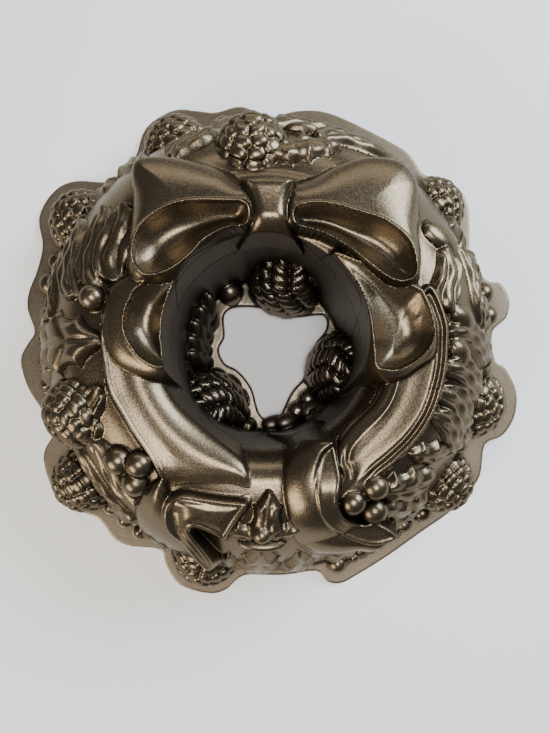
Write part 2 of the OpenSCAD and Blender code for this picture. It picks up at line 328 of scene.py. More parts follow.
LEAVES = [
    # cluster, shape, base, tip, width, raised by
    ("holly_left", "fan", at(136, 74), at(160, 60), 18, 0.4),
    ("holly_left", "fan", at(140, 82), at(164, 68), 15, 0.0),
    ("holly_left", "fan", at(146, 92), at(168, 76), 15, 0.4),
    ("holly_left", "fan", at(155, 98), at(174, 88), 13, 0.0),
    ("holly_left", "holly", at(181, 62), at(180, 97), 30, 0.9),
    ("holly_left", "fan", at(196, 66), at(206, 88), 15, 0.0),
    ("holly_top", "holly", at(88, 68), at(68, 80), 17, 0.6),
    ("holly_top", "pebble", at(85, 84), at(75, 86), 5, 0.0),
    ("holly_top", "fan", at(90, 86), at(70, 99), 14, 0.0),
    ("holly_top", "fan", at(76, 80), at(56, 96), 16, 0.6),
    ("holly_top", "fan", at(57, 84), at(42, 80), 14, 0.3),
    ("holly_top", "fan", at(104, 98), at(90, 84), 13, 0.4),
    ("holly_top", "fan", at(118, 78), at(104, 88), 15, 0.0),
    ("holly_top", "fan", at(124, 88), low(127, 14), 16, 0.0),
    ("holly_top", "fan", at(50, 90), low(47, 16), 16, 0.3),
    ("holly_right", "pebble", at(35.5, 75), at(25, 86), 13, 0.0),
    ("holly_right", "fan", at(27, 78), at(8, 72), 16, 0.3),
    ("holly_right", "fan", at(28, 90), at(4, 93), 15, 0.0),
    ("holly_right", "pebble", at(9, 73), at(4, 84), 9, 0.6),
    ("holly_right", "pebble", at(359, 72), at(354, 82), 9, 0.6),
    ("holly_right", "fan", at(2, 70), at(358, 100), 14, 0.0),
    ("holly_right", "fan", at(351, 68), at(349, 96), 14, 0.3),
    ("holly_right", "fan", at(343, 68), at(340, 96), 15, 0.0),
    ("holly_right", "fan", at(336, 70), at(333, 96), 13, 0.4),
    ("holly_lower_right", "holly", at(307, 74), at(323, 90), 22, 0.8),
    ("holly_lower_right", "holly", at(305, 82), at(312, 98), 17, 0.3),
    ("holly_lower_right", "holly", at(322, 72), at(331, 90), 15, 0.0),
    ("holly_lower_right", "fan", low(296, 44), low(312, 30), 15, 0.0),
    ("holly_lower_left", "fan", at(210, 78), at(232, 84), 14, 0.4),
    ("holly_lower_left", "fan", at(206, 92), at(233, 97), 14, 0.0),
    ("holly_lower_left", "fan", at(203, 76), at(214, 82), 11, 0.0),
    ("star_flower", "holly", at(269, 84), low(267, 12), 24, 0.8),
    ("star_flower", "holly", at(260, 92), low(258, 14), 13, 0.0),
    ("star_flower", "holly", at(279, 90), low(281, 14), 14, 0.0),
    ("tube_wall", "holly", bore(146, 34), bore(158, 8), 13, 0.6),
    ("tube_wall", "pebble", bore(150, 38), bore(142, 26), 4, 0.0),
    ("tube_wall", "holly", bore(166, 36), bore(182, 10), 15, 0.0),
    ("tube_wall", "holly", bore(188, 34), bore(199, 8), 13, 0.6),
    ("tube_wall", "holly", bore(300, 30), bore(322, 10), 17, 0.9),
    ("tube_wall", "holly", bore(284, 16), bore(300, 8), 11, 0.0),
]
# the steep wall below them carries a row of hanging leaves between the cones
HANGING = [("holly_left", (160, 172, 184, 197)), ("holly_lower_left", (227, 239)),
           ("holly_lower_right", (290, 302, 313)), ("holly_right", (334, 357, 9, 21, 31)),
           ("holly_top", (50, 61, 72, 83, 96, 126, 134)), ("star_flower", (264, 277))]
LEAVES = [(cluster, "holly", low(turn + 2, 50), low(turn - 1, 6), 21, 0.3 * (k % 2))
          for cluster, turns in HANGING for k, turn in enumerate(turns)] + LEAVES
SHAPES = {"holly": holly_leaf, "fan": fan_leaf, "pebble": pebble}
for cluster, shape, base, tip, width, lift in LEAVES:
    options = {} if shape == "pebble" else {"lift": lift}
    SHAPES[shape](label_of(cluster), base, tip, width, **options)


def star():
    """The pointed flower between the ribbon tails: a peaked petal, a round boss and two side petals."""
    lab = label_of("star_flower")
    holly_leaf(lab, at(270, 80), at(271.5, 59), 17, high=2.2, spines=2)
    holly_leaf(lab, at(269, 78), at(258, 76), 12, high=1.8, spines=2)
    holly_leaf(lab, at(269, 78), at(281, 76), 12, high=1.8, spines=2)
    pebble(lab, at(265.5, 76), at(272.5, 76), 8, high=6.0)
    pebble(lab, at(262, 83), at(276, 83), 5, high=3.5)


star()

for _ in range(2):
    relief = (np.roll(relief, 1, 1) + 2 * relief + np.roll(relief, -1, 1)) / 4
    relief[1:-1] = (relief[:-2] + 2 * relief[1:-1] + relief[2:]) / 4
band = np.abs(total) < 7
arc_grid = by_radius(ARC_T)
si = np.clip((arc_grid[band] - MAP_S[0]) / ARC_STEP, 0, len(MAP_S) - 1.01)
pi_ = (np.broadcast_to(PHI2[..., None], SHAPE)[band] / TURN_STEP) % len(MAP_P)
del arc_grid


def sample_map(m, near=False):
    i, j = si.astype(np.int32), pi_.astype(np.int32)
    if near:
        return m[np.round(si).astype(np.int32), np.round(pi_).astype(np.int32) % len(MAP_P)]
    fi, fj = (si - i).astype(np.float32), (pi_ - j).astype(np.float32)
    j1 = (j + 1) % len(MAP_P)
    return ((m[i, j] * (1 - fj) + m[i, j1] * fj) * (1 - fi)
            + (m[i + 1, j] * (1 - fj) + m[i + 1, j1] * fj) * fi)


total[band] -= sample_map(relief)
label = np.full(SHAPE, 1, np.int8)
gap = np.full(SHAPE, 99.0, np.float32)
leaf_id = sample_map(relief_id, near=True)
own = label[band]
own[leaf_id > 2] = leaf_id[leaf_id > 2]
label[band] = own
gap[band] = np.minimum(gap[band], np.abs(sample_map(relief_d)))
del si, pi_, leaf_id, own, band
body = total.copy()


def add(name, field, box, k=BLEND, lead=0.0):
    """Joins a feature's field to the whole inside a box of slices. Where two surfaces run together,
    the later feature owns them if it is given a lead."""
    lab = label_of(name)
    a = body[box]
    won = a + lead - field
    wins = won > 0
    gap[box] = np.where(wins, won, np.minimum(gap[box], -won))
    lb = label[box]
    lb[wins] = lab
    total[box] = smin(total[box], field, k)
    body[box] = np.minimum(a, field)


# ---------------------------------------------------------------- the bow and the ribbons
def columns(outline, margin=6.0):
    lo, hi = outline.min(0) - margin, outline.max(0) + margin
    bx, by = span(0, lo[0], hi[0]), span(1, lo[1], hi[1])
    return bx, by, X2[bx, by], Y2[bx, by]


TUBE_SIDE = 39.6          # nothing raised stands nearer to the axis
KNOT_SIDE = 37.8          # the knot reaches a little over the hole
SHEET_LEAD = 0.6          # a raised sheet owns the surface it runs into by this much


def raise_plan(name, d2, top, bx, by, start=0.0, k=0.9, draft=DRAFT, blend=BLEND, tube_side=TUBE_SIDE,
               bowl=None):
    """A feature whose top is a height map inside an outline, with drafted sides, from the height start up.
    bowl is the distance to the edge of a hollow in it, inside which nothing stands higher than the map."""
    bz = span(2, start, HIGH[2])
    box = (bx, by, bz)
    z = GZ[bz][None, None, :]
    t = top[..., None]
    side = (d2[..., None] - np.maximum(t - z, 0) * math.tan(draft)) * math.cos(draft)
    f = smax((z - t) * 0.97, side, k)
    f = np.maximum(f, tube_side - 0.004 * (80 - z) - R2[bx, by][..., None])
    if bowl is not None:
        inside = (bowl < 0)[..., None]
        over = (z - t) * 0.97
        body[box] = np.where(inside, np.maximum(body[box], over), body[box])
        total[box] = np.where(inside, smax(total[box], over, 0.8), total[box])
    add(name, f.astype(np.float32), box, blend, lead=SHEET_LEAD)
    if bowl is not None:
        near = inside & (np.abs(z - t) < 6) & (R2[bx, by][..., None] > tube_side)
        label[box] = np.where(near, label_of(name), label[box])
        gap[box] = np.where(near, np.abs(bowl)[..., None] + 0 * z, gap[box])


def loop(name, outer, recess, z_out, z_lip, depth, lean, lip=0.9):
    """A bow loop: a pillow rising from its outer edge to the lip of a shallow recess."""
    out, rec = spline(outer), spline(recess)
    bx, by, x, y = columns(out)
    do, dr = line_distance(x, y, out, True), line_distance(x, y, rec, True)
    q = np.clip(-do, 0, None) / (np.clip(-do, 0, None) + np.clip(dr, 0, None) + 1e-3)
    top = z_out + (z_lip - z_out) * np.sin(np.clip(q, 0, 1) * math.pi / 2) ** 0.7
    mid = rec.mean(0)
    t = ((x - mid[0]) * lean[0] + (y - mid[1]) * lean[1]) / 11.0
    reach = 0.97 * -dr.min()
    deep = 1 - (1 - np.clip(-dr / reach, 0, 1)) ** 2
    bowl = soften(deep * depth * np.clip(0.9 + 0.3 * t, 0.4, 1.3), 5)
    top = np.where(dr < 0, z_lip - bowl, top)
    top = top + lip * np.exp(-((dr - 0.4) / 0.5) ** 2)
    raise_plan(name, do, top, bx, by, k=1.4, bowl=np.maximum(dr, do))


UPPER_LEFT = [(-2, 56), (-9, 58), (-15, 62), (-25, 65), (-36, 67), (-45, 67), (-49, 65), (-50, 60),
              (-49, 53),
              (-50, 45), (-51, 36), (-52, 27), (-51, 21), (-47, 18), (-42, 19), (-34, 21), (-26, 27),
              (-18, 35), (-9, 39), (-2, 40)]
UPPER_LEFT_RECESS = [(-7, 47), (-15, 48), (-26, 48), (-35, 46), (-43, 41), (-47, 35), (-48, 28),
                     (-46, 24), (-42, 22), (-35, 24), (-28, 29), (-22, 35), (-14, 39), (-7, 40)]
UPPER_RIGHT = [(6, 56), (13, 58), (19, 60), (27, 64), (37, 67), (45, 67), (52, 65), (57, 59),
               (58, 53), (58, 40),
               (59, 31), (58, 22), (54, 18), (47, 19), (39, 24), (32, 30), (23, 36), (13, 39), (6, 40)]
UPPER_RIGHT_RECESS = [(12, 46), (23, 47), (35, 44), (44, 41), (52, 35), (55, 28), (55, 22), (51, 20),
                      (46, 21), (39, 26), (31, 32), (22, 37), (12, 40)]
LOWER_LEFT = [(-55, 22), (-60, 15), (-62, 7), (-61, -3), (-57, -10), (-50, -14), (-43, -16), (-38, -15),
              (-35, -10), (-35, 1), (-34, 9), (-30, 19), (-22, 32), (-14, 37), (-30, 36)]
LOWER_LEFT_RECESS = [(-45, 19), (-50, 13), (-52, 8), (-52, 1), (-48, -6), (-43, -10), (-38, -11),
                     (-36.5, -8), (-36.5, 1), (-35.5, 11), (-32, 17), (-27, 24), (-22, 30)]
LOWER_RIGHT = [(59, 19), (64, 9), (66, 1), (65, -7), (59, -12), (53, -16), (46, -17), (42, -15),
               (39, -11), (38, 1), (37, 12), (32, 23), (25, 32), (40, 34)]
LOWER_RIGHT_RECESS = [(24, 31), (30, 24), (36, 17), (39.5, 8), (41, -1), (42, -10), (44, -12), (51, -12),
                      (59, -7), (63, 0), (62, 8), (59, 15), (55, 18)]
KNOT = [(-9, 56), (-4, 57.5), (6, 57.5), (11.5, 56), (10, 51), (9, 46), (9.6, 41), (13, 34),
        (7, 34), (-3, 34),
        (-9, 34), (-6, 40), (-5, 45), (-6.5, 51)]
RIBBON_LEFT = [(-56, 20), (-61, 9), (-63, 1), (-62, -10), (-60, -21), (-55, -30), (-51, -37), (-44, -48),
               (-39, -60), (-39, -64), (-24, -65), (-8, -65), (-6, -63), (-6, -57), (-8, -49), (-14, -43),
               (-23, -36), (-34, -26), (-40, -16), (-46, 0)]
RIBBON_RIGHT = [(62, 20), (70, 8), (71, -3), (70, -15), (66, -29), (59, -40), (51, -48), (45, -53),
                (38, -60), (30, -63), (28, -60), (30, -53), (28, -48), (29, -41), (34, -34), (42, -26),
                (46, -18), (50, 0)]
TAIL_LEFT = [(-9, -63), (-16, -62.3), (-25, -61), (-31, -60), (-35, -61), (-38, -64), (-39.5, -69),
             (-39, -74.5),
             (-37, -79), (-32, -85), (-28.5, -92), (-24.5, -97), (-22.5, -92), (-26, -83.5), (-30, -76),
             (-28, -73.8), (-24, -75.3), (-19.5, -77.7), (-16.5, -79.6), (-13.8, -75.4),
             (-10.5, -70), (-7, -65)]
CURL_LEFT = [(-40, -54), (-48, -59.5), (-54.5, -68), (-59, -79), (-60, -88), (-55, -95),
             (-45, -100), (-34, -106),
             (-26, -100), (-29, -90), (-36, -78), (-37, -66)]
CURL_LIP = [(26, -40), (22, -44), (20, -50), (19.5, -58), (22, -69), (29, -77), (39, -82),
            (47, -83), (54, -80)]
CURL_INNER = [(46, -74), (38, -74), (31, -70), (28, -63), (29, -55), (28, -48)]
CURL_OUTER = [(15, -40), (9, -47), (7, -57), (9, -70), (13, -81), (21, -90), (31, -93), (40, -91)]


def ribbon(name, outline, rise=2.8, lip=0.9, second=0.0, dip=0.0):
    """A broad band with a crisp ridge along its outer edge and a rounded inner edge."""
    out = spline(outline)
    bx, by, x, y = columns(out)
    do = line_distance(x, y, out, True)
    r = R2[bx, by]
    outer = step(50, 58, r)
    top = wall_height(r) + rise - 0.9 * step(0, 9, -do) * outer
    top = top - 2.2 * np.exp(np.minimum(do, 0) / 2.2) * (1 - outer)
    edge = outer * step(-57, -48, y)
    top = top + lip * np.exp(-((do + 1.2) / 0.7) ** 2) * edge
    top = top + second * edge * (np.exp(-((do + 4.6) / 0.8) ** 2) - np.exp(-((do + 2.9) / 0.8) ** 2))
    top = top - dip * np.exp(-((y + 59.5) / 5.0) ** 2)
    raise_plan(name, do, top, bx, by)


ribbon("ribbon_left", RIBBON_LEFT, dip=3.6)
ribbon("ribbon_right", RIBBON_RIGHT, second=0.8)
# the crown is filled level under the bow
CROWN_LEVEL = 80.2
bx, by, x, y = columns(np.array([(-60.0, -20.0), (60.0, 62.0)]))
fill = np.maximum(R2[bx, by] - 62, 14 - y)
raise_plan("ring_wall", fill, np.full(x.shape, CROWN_LEVEL, np.float32), bx, by, 0.0, k=3.0, blend=2.0)


def tails():
    """The folded ends of the two ribbons."""
    out = spline(CURL_LEFT)
    bx, by, x, y = columns(out)
    do = line_distance(x, y, out, True)
    top = wall_height(R2[bx, by]) + 7.0 * np.sqrt(np.clip(1 - np.exp(do / 5.0), 0, 1))
    raise_plan("ribbon_tail_left", do, top, bx, by, 15.0, k=2.0)
    out = spline(TAIL_LEFT, steps=4)
    bx, by, x, y = columns(out)
    do = line_distance(x, y, out, True)
    drop = np.clip(-64 - y, 0, None)
    top = 84.6 - 0.25 * drop - 0.013 * drop ** 2 - 2.6 * np.exp(-((x + 35) / 3.2) ** 2) * step(-62, -68, y)
    top = top + 0.8 * np.exp(-((do + 1.0) / 0.7) ** 2) - 1.2 * step(-5, -1, do + 0.5 * np.cos(x * 0.3))
    raise_plan("ribbon_tail_left", do, top, bx, by, 20.0)
    outside = spline(CURL_OUTER + CURL_LIP[::-1], steps=4)
    bx, by, x, y = columns(outside)
    do = line_distance(x, y, outside, True)
    dl = line_distance(x, y, spline(CURL_LIP, False))
    dq = line_distance(x, y, spline(CURL_OUTER, False))
    q = dq / (dq + dl + 1e-3)
    rim_z = wall_height(np.clip(R2[bx, by], 0, 84)) + 6.0 - 0.2 * np.clip(R2[bx, by] - 84, 0, None)
    base_z = wall_height(R2[bx, by]) + 0.5
    top = base_z + (rim_z - base_z) * np.sin(np.clip(q, 0, 1) * math.pi / 2) ** 0.75
    raise_plan("ribbon_tail_right", do, top, bx, by, 15.0, k=1.6)
    band_line = spline(CURL_LIP + CURL_INNER, steps=4)
    bx, by, x, y = columns(band_line)
    do = line_distance(x, y, band_line, True)
    r = R2[bx, by]
    top = wall_height(np.clip(r, 0, 84)) + 2.6 + 3.8 * step(-42, -60, y) - 0.2 * np.clip(r - 84, 0, None)
    top = top + 0.5 * np.exp(-((do + 0.8) / 0.6) ** 2)
    raise_plan("ribbon_tail_right", do, top, bx, by, 15.0)


tails()
LOOP_EDGE, LOWER_LIP, UPPER_LIP = 81.0, 86.0, 89.0
loop("lower_loop_left", LOWER_LEFT, LOWER_LEFT_RECESS, LOOP_EDGE, LOWER_LIP, 6.5, (-0.9, -0.3))
loop("lower_loop_right", LOWER_RIGHT, LOWER_RIGHT_RECESS, LOOP_EDGE, LOWER_LIP, 6.5, (0.9, -0.3))
loop("bow_loop_left", UPPER_LEFT, UPPER_LEFT_RECESS, LOOP_EDGE, UPPER_LIP, 7.5, (-0.3, 0.95))
loop("bow_loop_right", UPPER_RIGHT, UPPER_RIGHT_RECESS, LOOP_EDGE, UPPER_LIP, 7.5, (0.3, 0.95))


def knot():
    out = spline(KNOT)
    bx, by, x, y = columns(out)
    do = line_distance(x, y, out, True)
    q = np.clip(-do / 5.0, 0, 1)
    top = 84.6 + 6.0 * np.sqrt(np.clip(1 - (1 - q) ** 2, 0, 1)) + 0.9 * ((y - 47) / 10) ** 2
    top = top - 6.0 * np.clip((44 - y) / 7, 0, 1) ** 2
    raise_plan("bow_knot", do, np.minimum(top, 91.4), bx, by, 66.0, k=2.4, tube_side=KNOT_SIDE)


knot()
# everything round the hole below the shoulder is the centre tube
tube_d = np.maximum((R2 - TUBE_TOP_R - WALL_T - 0.5)[..., None], (GZ - SHOULDER_H - 2.0)[None, None, :])
label[tube_d < 0] = NAMES.index("tube_wall")
gap = np.where(tube_d < 0, -tube_d, np.minimum(gap, tube_d)).astype(np.float32)
del tube_d


# ---------------------------------------------------------------- pine cones and berries
def unit(v):
    v = np.array(v, float)
    return v / np.linalg.norm(v)


def local_box(c, reach):
    return tuple(span(k, c[k] - reach, c[k] + reach) for k in range(3))


def offsets(box, c):
    """Coordinates from a centre, over a box of slices."""
    return (GX[box[0]][:, None, None] - c[0], GY[box[1]][None, :, None] - c[1],
            GZ[box[2]][None, None, :] - c[2])


def pinecone(name, centre, r, axis, pitch=16.5, tile=7.6, amp=1.7, long=1.0, shank=False, spin=0.0):
    """A ball covered with rows of rounded scales, each row set half a scale round from the last."""
    centre = np.array(centre, float)
    reach = max(r, r * long) + 4
    lo = centre - reach
    if shank:
        lo[2] = LOW[2]
    box = tuple(span(k, lo[k], centre[k] + reach) for k in range(3))
    x, y, z = offsets(box, centre)
    a = unit(axis)
    e1 = unit(np.cross(a, (0.0, 0.3, 1.0)))
    e2 = np.cross(a, e1)
    pa = (x * a[0] + y * a[1] + z * a[2]) / long
    p1 = x * e1[0] + y * e1[1] + z * e1[2]
    p2 = x * e2[0] + y * e2[1] + z * e2[2]
    rad = np.sqrt(p1 * p1 + p2 * p2 + pa ** 2)
    theta = np.arccos(np.clip(pa / np.maximum(rad, 1e-3), -1, 1))
    psi = np.arctan2(p2, p1) / (2 * math.pi) + spin
    pitch = math.radians(pitch)
    bump = np.zeros(theta.shape, np.float32)
    for shift in (0, 1):
        k = np.floor(theta / pitch) + shift
        mid = k * pitch
        ring = np.sin(np.clip(mid, 0, math.pi))
        n = np.maximum(np.round(2 * math.pi * ring * r / tile), 1)
        across = np.where(k > 0, np.abs((psi * n + 0.5 * (k % 2)) % 1.0 - 0.5) * 2.04, 0)
        along = (theta - mid) / pitch
        rho = across ** 3.2 + np.abs(along / 0.66) ** 2.6
        one = np.clip(1 - rho, 0, 1) ** 0.6 * (1.0 + 0.45 * along)
        bump = np.maximum(bump, one)
    f = rad - (r - amp * 0.75) - amp * bump
    if shank:
        flat_r = np.hypot(x, y) + 0 * z
        stem = flat_r - (r - 0.8) - (0.0 - z) * 0.03
        f = np.where(z < 0, np.minimum(f, np.maximum(stem, z)), f)
    add(name, (f * 0.85).astype(np.float32), box, 0.7)


CONES = [
    ("pinecone_1", (-42.5, 96.5, 17), 16.5, True),
    ("pinecone_2", (-5, 73.5, 68), 14.8, False),
    ("pinecone_3", (-88.5, 61.5, 17), 16.5, True),
    ("pinecone_4", (-76, -28.5, 65.5), 15.0, False),
    ("pinecone_5", (-91, -63, 17), 16.5, True),
    ("pinecone_6", (-30.5, -100, 17), 17.5, True),
    ("pinecone_7", (78.5, 66.5, 23), 15.5, True),
    ("pinecone_8", (101.5, -25, 17), 17.5, True),
    ("pinecone_9", (87.5, -63.5, 17), 16.5, True),
]
for k, (name, centre, r, shank) in enumerate(CONES):
    away = math.hypot(centre[0], centre[1])
    lie = 1.1 if shank else 0.5
    axis = (lie * centre[0] / away, lie * centre[1] / away, 1)
    pinecone(name, centre, r, axis, shank=shank, spin=0.13 * k)
TUBE_CONES = [("tube_pinecone_1", 75), ("tube_pinecone_2", 223), ("tube_pinecone_3", 348)]
for k, (name, turn) in enumerate(TUBE_CONES):
    a = math.radians(turn)
    c = (41.0 * math.cos(a), 41.0 * math.sin(a), 5)
    pinecone(name, c, 20.0, (0, 0, 1), pitch=10.0, tile=10.5, amp=2.3, long=2.0, shank=True, spin=0.2 * k)

SLANT = 0.5
# lumps of foliage that stand on the rim: cluster, direction, radius, height, then their half sizes
LUMPS = [("holly_lower_right", turn, 113.5, 5.5, 4.6, 3.6, 5.0) for turn in (291, 296, 301, 306)]
LUMPS += [("holly_lower_right", turn, 114.5, 8.0, 3.4, 3.0, 4.2) for turn in (293.5, 298.5, 303.5, 309)]
LUMPS += [("holly_top", turn, 113.0, 6.0, 5.0, 3.6, 5.5) for turn in (56, 62, 68, 74, 80)]
LUMPS += [("holly_top", turn, 115.0, 8.0, 3.2, 3.0, 4.0) for turn in (59, 65, 71, 77)]
LUMPS += [("holly_left", turn, 113.5, 6.0, 5.0, 3.6, 5.5) for turn in (176, 182, 188, 194)]
LUMPS += [("holly_lower_left", turn, 113.5, 5.0, 4.6, 3.4, 4.5) for turn in (224, 229, 234)]
# foliage standing from the foot of the tube: slanting lobes of two leaves, and a lower leaf across the hole
LUMPS += [("tube_wall", 145 + 11 * i, 36.5, 22 - 2.5 * i, 6.0, 4.4, 11.0) for i in range(5)]
LUMPS += [("tube_wall", 150 + 12 * i, 34.0, 10 - i, 5.5, 4.6, 6.5) for i in range(4)]
LUMPS += [("tube_wall", 277 + 11 * i, 36.0, 6 + 7 * (i % 2), 5.0, 6.5, 4.5) for i in range(4)]
for name, turn, away, up, lr, lt, lz in LUMPS:
    a = math.radians(turn)
    c = np.array([away * math.cos(a), away * math.sin(a), up])
    box = local_box(c, 1.5 * max(lr, lt, lz) + 2)
    x, y, z = offsets(box, c)
    out_r = x * math.cos(a) + y * math.sin(a)
    side = y * math.cos(a) - x * math.sin(a) + (SLANT * z if name == "tube_wall" else 0)
    f = (np.sqrt((out_r / lr) ** 2 + (side / lt) ** 2 + (z / lz) ** 2) - 1) * min(lr, lt, lz)
    add(name, f.astype(np.float32), box, 1.0)

BERRIES = {
    "berries_top": [(-21.5, 112, 8.5, 5.8), (-11.2, 113.2, 8.5, 5.8)],
    "berries_left": [(-105, 46, 8.5, 5.4), (-109, 35, 8.5, 6.2), (-66, 15.2, 79, 5.2)],
    "berries_lower_left": [(-58, -47.5, 76, 6), (-49.2, -48.8, 79, 5.6), (-51.5, -56.5, 75, 5.8)],
    "berries_lower_right": [(34.7, -64, 77, 5.6), (43.5, -58, 77, 5.6), (44.2, -68.5, 71, 5.8)],
    "berries_right": [(109.5, 31, 8.5, 5.8), (112, 19.5, 8.5, 5.8)],
    "berries_bottom": [(81, -82, 8, 5.0), (71.5, -88, 8, 4.6), (37, -109, 7.5, 5.4)],
    "tube_berries": [(-18.5, 31.8, 9, 6.8), (21, -22.5, 10, 5.2), (15.5, -28.5, 9, 5.2),
                     (-9.5, -36.5, 7, 4)],
}
for name, balls in BERRIES.items():
    for bxx, byy, bzz, br in balls:
        c = np.array([bxx, byy, bzz])
        box = local_box(c, br + 4)
        x, y, z = offsets(box, c)
        f = np.sqrt(x * x + y * y + z * z) - br
        add(name, f.astype(np.float32), box, 0.6)
del body

# ---------------------------------------------------------------- the shell, the rim and the web
cavity = -(total + WALL_T)
total = np.maximum(total, cavity)

RIM_POINTS = [(124, 121), (118, 131), (111, 133), (106, 129), (102, 126), (96.5, 127), (93, 124),
              (90, 117.5), (87, 122), (81, 126), (74, 127), (60, 126), (54, 126), (49, 123), (45, 128),
              (40, 131), (36, 129), (32, 124), (26, 118), (19, 121), (17, 128), (13, 130), (9, 127),
              (6, 119), (-1, 120), (-3, 126), (-8, 133), (-13.5, 135), (-18.5, 132), (-22, 125),
              (-29, 130), (-35, 130), (-41, 128), (-49, 125), (-59, 125), (-68, 127), (-72, 128),
              (-75, 125), (-77, 118), (-86, 117.5), (-96, 118), (-100, 127), (-104, 131), (-111, 131),
              (-116, 124), (-119, 118), (-126, 125), (-130, 127), (-134, 125), (-137, 125),
              (-141, 130), (-147, 134), (-153, 132), (-157, 128), (-160, 120), (-163, 119),
              (-168, 123), (-173, 127), (-179, 129), (-183, 125), (-186, 122), (-191, 127),
              (-195, 128), (-200, 127), (-206, 129), (-211, 137), (-217, 138), (-222, 133),
              (-229, 118)]
turns = np.array([p[0] for p in RIM_POINTS][::-1], float)
reach = np.array([p[1] for p in RIM_POINTS][::-1], float)
rim_curve = spline([(r * math.cos(math.radians(a)), r * math.sin(math.radians(a)))
                    for a, r in zip(turns, reach)], steps=4)
rim_a = np.degrees(np.arctan2(rim_curve[:, 1], rim_curve[:, 0])) % 360
order = np.argsort(rim_a)
rim_r = np.interp(PHI2, rim_a[order], np.hypot(*rim_curve.T)[order], period=360).astype(np.float32)
low_z = span(2, LOW[2], RIM_T + 5)
every = slice(None)


def plate(name, d2, base, face, bz, edge=1.3):
    z = GZ[bz][None, None, :]
    f = smax(np.abs(z - (base + face) / 2) - (face - base) / 2, d2[..., None] + 0 * z, edge)
    f = np.maximum(f, cavity[:, :, bz])
    box = (every, every, bz)
    lab = label_of(name)
    here = total[box]
    wins = f < here
    g = np.abs(f - here)
    gap[box] = np.where(wins, g, np.minimum(gap[box], g))
    lb = label[box]
    lb[wins] = lab
    total[box] = smin(here, f, 1.6)


plate("rim_plate", np.maximum((R2 - rim_r) * 0.96, 90 - R2), 0.0, RIM_T, low_z)
HOLE = [(-22, 21), (-15, 25), (0, 24), (13, 20), (22, 20.5), (30, 20.5), (31, 14), (25, 5), (22, -8),
        (13, -19), (7, -31), (2, -34), (-4, -30), (-8, -17), (-15, -8), (-22, -4), (-25, 3), (-22, 10)]
hole_d = line_distance(X2, Y2, spline(HOLE), True)
plate("web_plate", np.maximum(R2 - 44, -hole_d), WEB_LOW, WEB_LOW + WEB_T, low_z)
total = np.maximum(total, -GZ[None, None, :])
total = np.clip(total, -4, 4).astype(np.float32)
del cavity


# ---------------------------------------------------------------- pieces
def sample(field, points):
    """Trilinear value of the field at points in millimetres."""
    f = (points - LOW) / VOXEL
    i = np.clip(np.floor(f).astype(np.int32), 0, np.array(SHAPE) - 2)
    f = (f - i).astype(np.float32)
    out = np.zeros(len(points), np.float32)
    for a in (0, 1):
        for b in (0, 1):
            for c in (0, 1):
                w = (np.abs(1 - a - f[:, 0]) * np.abs(1 - b - f[:, 1]) * np.abs(1 - c - f[:, 2]))
                out += w * field[i[:, 0] + a, i[:, 1] + b, i[:, 2] + c]
    return out


def field_normals(points):
    n = np.zeros((len(points), 3), np.float32)
    for k in range(3):
        off = np.zeros(3)
        off[k] = VOXEL * 0.6
        n[:, k] = sample(total, points + off) - sample(total, points - off)
    return n


def make_piece(name, lab, material):
    here = label == lab
    if not here.any():
        return None
    box = []
    for k in range(3):
        hit = np.flatnonzero(here.any(axis=tuple(j for j in range(3) if j != k)))
        box.append(slice(max(hit[0] - 2, 0), hit[-1] + 3))
    box = tuple(box)
    here = here[box]
    g = gap[box]
    f = np.maximum(total[box], np.where(here, -g, np.maximum(g, 0.3 * VOXEL)))
    f = np.clip(f, -2.0, 2.0).astype(np.float32)
    for k in range(3):
        edge = [slice(None)] * 3
        for end in (0, -1):
            edge[k] = end
            f[tuple(edge)] = np.maximum(f[tuple(edge)], 0.5)
    grid = openvdb.FloatGrid(2.0)
    grid.copyFromArray(np.ascontiguousarray(f), tolerance=0.0)
    pts, tris, quads = grid.convertToPolygons(isovalue=0.0, adaptivity=0.0)

    start = np.array([GX[box[0]][0], GY[box[1]][0], GZ[box[2]][0]])
    pts = pts * VOXEL + start
    mesh = bpy.data.meshes.new(name)
    mesh.vertices.add(len(pts))
    mesh.vertices.foreach_set("co", (pts * MM).astype(np.float32).ravel())
    mesh.loops.add(quads.size)
    mesh.loops.foreach_set("vertex_index", quads.astype(np.int32).ravel())
    mesh.polygons.add(len(quads))
    mesh.polygons.foreach_set("loop_start", (np.arange(len(quads)) * 4).astype(np.int32))
    mesh.update(calc_edges=True)
    mesh.validate()
    mesh.polygons.foreach_set("use_smooth", np.ones(len(mesh.polygons), bool))
    n = field_normals(pts)
    size = np.linalg.norm(n, axis=1)
    auto = np.zeros(len(pts) * 3, np.float32)
    mesh.vertex_normals.foreach_get("vector", auto)
    auto = auto.reshape(-1, 3)
    skin = (np.abs(sample(total, pts)) < 0.35) & (size > 1e-4)
    n = np.where(skin[:, None], n / np.maximum(size, 1e-6)[:, None], auto)
    mesh.normals_split_custom_set_from_vertices(n.tolist())
    mesh.materials.append(material)
    obj = bpy.data.objects.new(name, mesh)
    bpy.context.scene.collection.objects.link(obj)
    return obj


